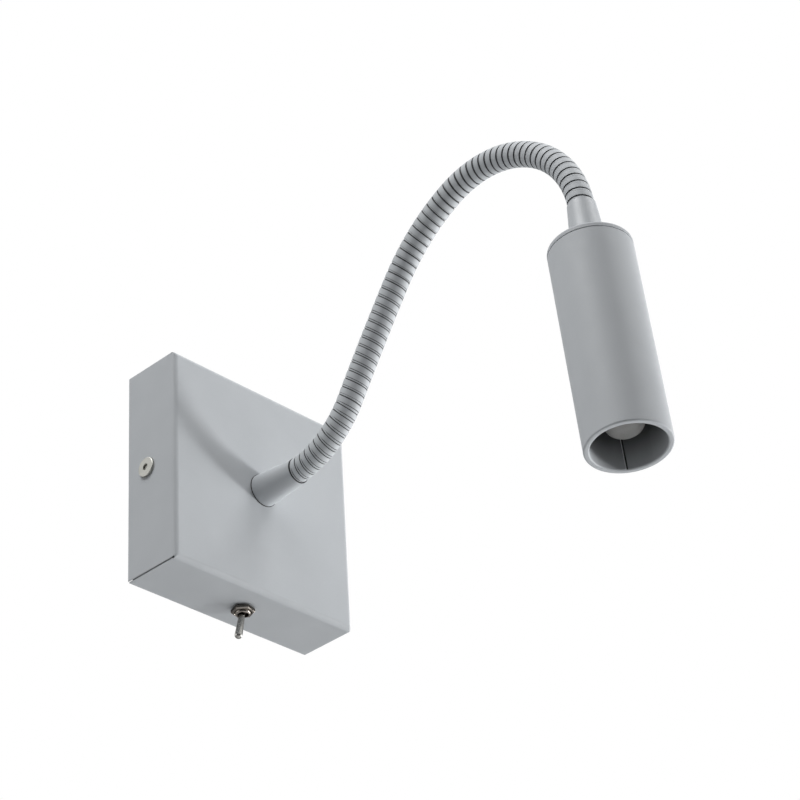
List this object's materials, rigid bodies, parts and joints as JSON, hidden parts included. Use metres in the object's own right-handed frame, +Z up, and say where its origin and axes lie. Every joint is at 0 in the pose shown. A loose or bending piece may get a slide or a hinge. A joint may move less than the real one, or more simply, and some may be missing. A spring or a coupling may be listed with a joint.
{
  "type": "wall reading lamp",
  "caption": "Wall reading lamp: a flat square wall box with a toggle switch below, a spiral flexible neck out of its front and a slim tube head that aims a capsule bulb.",
  "frame": {"origin": "middle of the wall box's back, on the wall plane", "axes": "+X to the right seen from the room, +Y into the wall, +Z up; the neck leaves the box along -Y"},
  "size_m": [0.092, 0.2155, 0.1541],
  "materials": {
    "grey_paint": "satin light blue-grey powder coat",
    "screw_steel": "pale plated steel",
    "zinc_steel": "zinc plated sheet",
    "nickel": "nickel plated brass",
    "brass": "plain brass",
    "switch_plastic": "moulded black",
    "block_plastic": "moulded white",
    "grommet_rubber": "soft black",
    "live_insulation": "brown insulation",
    "neutral_insulation": "blue insulation",
    "earth_insulation": "green and yellow insulation",
    "cable_sheath": "white heat-resistant sheath",
    "socket_ceramic": "unglazed white",
    "bulb_base_plastic": "white",
    "bulb_frosted": "frosted translucent"
  },
  "bodies": {
    "base": {"cover_shell": "grey_paint", "cover_screws": "screw_steel", "wall_bracket": "zinc_steel", "entry_grommet": "grommet_rubber", "terminal_housing": "block_plastic", "terminal_clamps": "brass", "terminal_screws": "brass", "earth_screw": "brass", "base_ferrule": "grey_paint", "base_nipple": "zinc_steel", "base_washer": "zinc_steel", "base_locknut": "zinc_steel", "switch_body": "switch_plastic", "switch_bushing": "nickel", "switch_washer": "nickel", "switch_nut": "nickel", "switch_lugs": "brass", "live_lead": "live_insulation", "switched_lead": "live_insulation", "neutral_lead": "neutral_insulation", "earth_lead": "earth_insulation", "neck_cable": "cable_sheath", "neck_link_01": "grey_paint"},
    "toggle": {"toggle_lever": "nickel"},
    "neck_02": {"neck_link_02": "grey_paint"},
    "neck_03": {"neck_link_03": "grey_paint"},
    "neck_04": {"neck_link_04": "grey_paint"},
    "neck_05": {"neck_link_05": "grey_paint"},
    "neck_06": {"neck_link_06": "grey_paint"},
    "neck_07": {"neck_link_07": "grey_paint"},
    "neck_08": {"neck_link_08": "grey_paint"},
    "neck_09": {"neck_link_09": "grey_paint"},
    "neck_10": {"neck_link_10": "grey_paint"},
    "neck_11": {"neck_link_11": "grey_paint"},
    "neck_12": {"neck_link_12": "grey_paint"},
    "neck_13": {"neck_link_13": "grey_paint"},
    "neck_14": {"neck_link_14": "grey_paint"},
    "neck_15": {"neck_link_15": "grey_paint"},
    "neck_16": {"neck_link_16": "grey_paint"},
    "neck_17": {"neck_link_17": "grey_paint"},
    "neck_18": {"neck_link_18": "grey_paint"},
    "neck_19": {"neck_link_19": "grey_paint"},
    "neck_20": {"neck_link_20": "grey_paint"},
    "neck_21": {"neck_link_21": "grey_paint"},
    "neck_22": {"neck_link_22": "grey_paint"},
    "head": {"neck_link_23": "grey_paint", "upper_ferrule": "grey_paint", "head_nipple": "zinc_steel", "head_locknut": "zinc_steel", "head_cap": "grey_paint", "head_tube": "grey_paint", "socket_bracket": "zinc_steel", "lamp_socket": "socket_ceramic", "socket_contacts": "brass", "socket_screws": "zinc_steel", "socket_leads": "cable_sheath", "bulb_base": "bulb_base_plastic", "bulb_cover": "bulb_frosted", "bulb_pins": "brass"}
  },
  "joints": [
    {"name": "neck_lower_bend", "type": "hinge", "parent": "base", "child": "neck_02", "pos_m": [0, -0.0465, 0], "axis": [-1, 0, 0], "range_deg": [-14.2, 1], "deforming": ["neck_cable"]},
    {"name": "neck_lower_bend_02", "type": "hinge", "parent": "neck_02", "child": "neck_03", "pos_m": [0, -0.05581, 0.00235], "axis": [-1, 0, 0], "range_deg": [-14.25, 1.05], "deforming": ["neck_cable"]},
    {"name": "neck_lower_bend_03", "type": "hinge", "parent": "neck_03", "child": "neck_04", "pos_m": [0, -0.06425, 0.00692], "axis": [-1, 0, 0], "range_deg": [-14.25, 1.05], "deforming": ["neck_cable"]},
    {"name": "neck_lower_bend_04", "type": "hinge", "parent": "neck_04", "child": "neck_05", "pos_m": [0, -0.07132, 0.01342], "axis": [-1, 0, 0], "range_deg": [-14.25, 1.05], "deforming": ["neck_cable"]},
    {"name": "neck_side_bend", "type": "hinge", "parent": "neck_05", "child": "neck_06", "pos_m": [0, -0.07657, 0.02145], "axis": [0, 0.8339, 0.5519], "range_deg": [-12, 12], "deforming": ["neck_cable"]},
    {"name": "neck_side_bend_02", "type": "hinge", "parent": "neck_06", "child": "neck_07", "pos_m": [0, -0.08191, 0.02943], "axis": [0, 0.8281, 0.5606], "range_deg": [-12.05, 12.05], "deforming": ["neck_cable"]},
    {"name": "neck_side_bend_03", "type": "hinge", "parent": "neck_07", "child": "neck_08", "pos_m": [0, -0.08734, 0.03735], "axis": [0, 0.8221, 0.5693], "range_deg": [-12.05, 12.05], "deforming": ["neck_cable"]},
    {"name": "neck_side_bend_04", "type": "hinge", "parent": "neck_08", "child": "neck_09", "pos_m": [0, -0.09284, 0.04521], "axis": [0, 0.8161, 0.5779], "range_deg": [-12.05, 12.05], "deforming": ["neck_cable"]},
    {"name": "neck_side_bend_05", "type": "hinge", "parent": "neck_09", "child": "neck_10", "pos_m": [0, -0.09843, 0.05302], "axis": [0, 0.81, 0.5864], "range_deg": [-12.05, 12.05], "deforming": ["neck_cable"]},
    {"name": "neck_rise_bend", "type": "hinge", "parent": "neck_10", "child": "neck_11", "pos_m": [0, -0.1041, 0.06077], "axis": [-1, 0, 0], "range_deg": [-1.5, 9], "deforming": ["neck_cable"]},
    {"name": "neck_rise_bend_02", "type": "hinge", "parent": "neck_11", "child": "neck_12", "pos_m": [0, -0.11071, 0.06773], "axis": [-1, 0, 0], "range_deg": [-1.55, 9.05], "deforming": ["neck_cable"]},
    {"name": "neck_rise_bend_03", "type": "hinge", "parent": "neck_12", "child": "neck_13", "pos_m": [0, -0.11815, 0.0738], "axis": [-1, 0, 0], "range_deg": [-1.55, 9.05], "deforming": ["neck_cable"]},
    {"name": "neck_rise_bend_04", "type": "hinge", "parent": "neck_13", "child": "neck_14", "pos_m": [0, -0.1263, 0.07887], "axis": [-1, 0, 0], "range_deg": [-1.55, 9.05], "deforming": ["neck_cable"]},
    {"name": "neck_crown_bend", "type": "hinge", "parent": "neck_14", "child": "neck_15", "pos_m": [0, -0.13503, 0.08287], "axis": [-1, 0, 0], "range_deg": [-1.2, 16], "deforming": ["neck_cable"]},
    {"name": "neck_crown_bend_02", "type": "hinge", "parent": "neck_15", "child": "neck_16", "pos_m": [0, -0.14446, 0.08465], "axis": [-1, 0, 0], "range_deg": [-1.25, 16.05], "deforming": ["neck_cable"]},
    {"name": "neck_crown_bend_03", "type": "hinge", "parent": "neck_16", "child": "neck_17", "pos_m": [0, -0.15405, 0.08411], "axis": [-1, 0, 0], "range_deg": [-1.25, 16.05], "deforming": ["neck_cable"]},
    {"name": "neck_far_bend", "type": "hinge", "parent": "neck_17", "child": "neck_18", "pos_m": [0, -0.16322, 0.08129], "axis": [-1, 0, 0], "range_deg": [-2.1, 13.8], "deforming": ["neck_cable"]},
    {"name": "neck_far_bend_02", "type": "hinge", "parent": "neck_18", "child": "neck_19", "pos_m": [0, -0.17164, 0.07667], "axis": [-1, 0, 0], "range_deg": [-2.15, 13.85], "deforming": ["neck_cable"]},
    {"name": "neck_far_bend_03", "type": "hinge", "parent": "neck_19", "child": "neck_20", "pos_m": [0, -0.17894, 0.07043], "axis": [-1, 0, 0], "range_deg": [-2.15, 13.85], "deforming": ["neck_cable"]},
    {"name": "neck_head_bend", "type": "hinge", "parent": "neck_20", "child": "neck_21", "pos_m": [0, -0.18482, 0.06285], "axis": [-1, 0, 0], "range_deg": [-2.1, 13.2], "deforming": ["neck_cable"]},
    {"name": "neck_head_bend_02", "type": "hinge", "parent": "neck_21", "child": "neck_22", "pos_m": [0, -0.18913, 0.05427], "axis": [-1, 0, 0], "range_deg": [-2.15, 13.25], "deforming": ["neck_cable"]},
    {"name": "neck_head_bend_03", "type": "hinge", "parent": "neck_22", "child": "head", "pos_m": [0, -0.19171, 0.04502], "axis": [-1, 0, 0], "range_deg": [-2.15, 13.25], "deforming": ["neck_cable"]},
    {"name": "switch_throw", "type": "hinge", "parent": "base", "child": "toggle", "pos_m": [0, -0.013, -0.0463], "axis": [0, -1, 0], "range_deg": [0, 25]}
  ],
  "couplings": [
    {"joint": "neck_lower_bend_02", "follows": "neck_lower_bend", "ratio": 1},
    {"joint": "neck_lower_bend_03", "follows": "neck_lower_bend", "ratio": 1},
    {"joint": "neck_lower_bend_04", "follows": "neck_lower_bend", "ratio": 1},
    {"joint": "neck_side_bend_02", "follows": "neck_side_bend", "ratio": 1},
    {"joint": "neck_side_bend_03", "follows": "neck_side_bend", "ratio": 1},
    {"joint": "neck_side_bend_04", "follows": "neck_side_bend", "ratio": 1},
    {"joint": "neck_side_bend_05", "follows": "neck_side_bend", "ratio": 1},
    {"joint": "neck_rise_bend_02", "follows": "neck_rise_bend", "ratio": 1},
    {"joint": "neck_rise_bend_03", "follows": "neck_rise_bend", "ratio": 1},
    {"joint": "neck_rise_bend_04", "follows": "neck_rise_bend", "ratio": 1},
    {"joint": "neck_crown_bend_02", "follows": "neck_crown_bend", "ratio": 1},
    {"joint": "neck_crown_bend_03", "follows": "neck_crown_bend", "ratio": 1},
    {"joint": "neck_far_bend_02", "follows": "neck_far_bend", "ratio": 1},
    {"joint": "neck_far_bend_03", "follows": "neck_far_bend", "ratio": 1},
    {"joint": "neck_head_bend_02", "follows": "neck_head_bend", "ratio": 1},
    {"joint": "neck_head_bend_03", "follows": "neck_head_bend", "ratio": 1}
  ]
}
